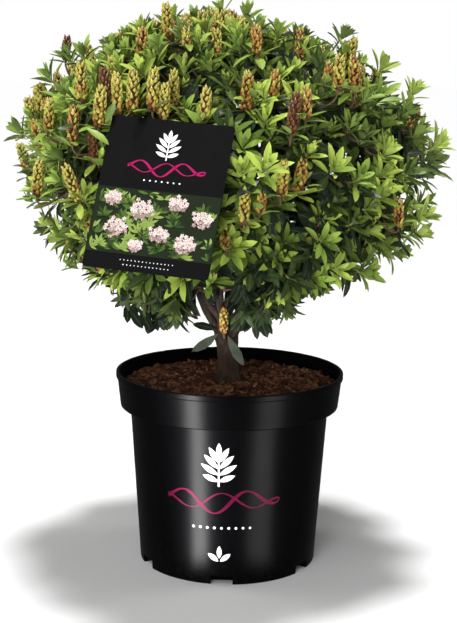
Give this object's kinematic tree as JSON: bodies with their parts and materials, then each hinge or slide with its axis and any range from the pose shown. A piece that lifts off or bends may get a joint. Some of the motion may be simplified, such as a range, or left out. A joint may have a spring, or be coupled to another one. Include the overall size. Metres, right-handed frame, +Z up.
{
  "type": "potted rhododendron",
  "caption": "Compact evergreen shrub with a dense rounded head of leafy shoots and flower buds on a short trunk, in a black nursery pot with a hanging plant label.",
  "frame": {"origin": "middle of the pot's flat underside, on the ground", "axes": "+Z up along the pot's axis, -Y towards the side that the plant label faces, +X to the right of that side"},
  "size_m": [0.4158, 0.4515, 0.5461],
  "materials": {
    "pot": "satin black moulded plastic",
    "compost": "coarse damp reddish-brown bark and peat",
    "bark": "rough grey-brown bark",
    "foliage": "leathery yellow-green to dark green leaves",
    "label": "printed black plastic card"
  },
  "bodies": {
    "root": {"pot": "pot", "compost": "compost", "trunk": "bark", "leader": "bark", "main_bough_1": "bark", "main_bough_2": "bark", "main_bough_3": "bark", "main_bough_4": "bark", "main_bough_5": "bark", "side_bough_1": "bark", "side_bough_2": "bark", "side_bough_3": "bark", "side_bough_4": "bark", "side_bough_5": "bark", "side_bough_6": "bark", "side_bough_7": "bark", "foliage_top": "foliage", "foliage_upper_1": "foliage", "foliage_upper_2": "foliage", "foliage_upper_3": "foliage", "foliage_upper_4": "foliage", "foliage_upper_5": "foliage", "foliage_lower_1": "foliage", "foliage_lower_2": "foliage", "foliage_lower_3": "foliage", "foliage_lower_4": "foliage", "foliage_lower_5": "foliage", "foliage_lower_6": "foliage", "foliage_lower_7": "foliage", "plant_label": "label", "label_loop": "label"}
  },
  "joints": []
}
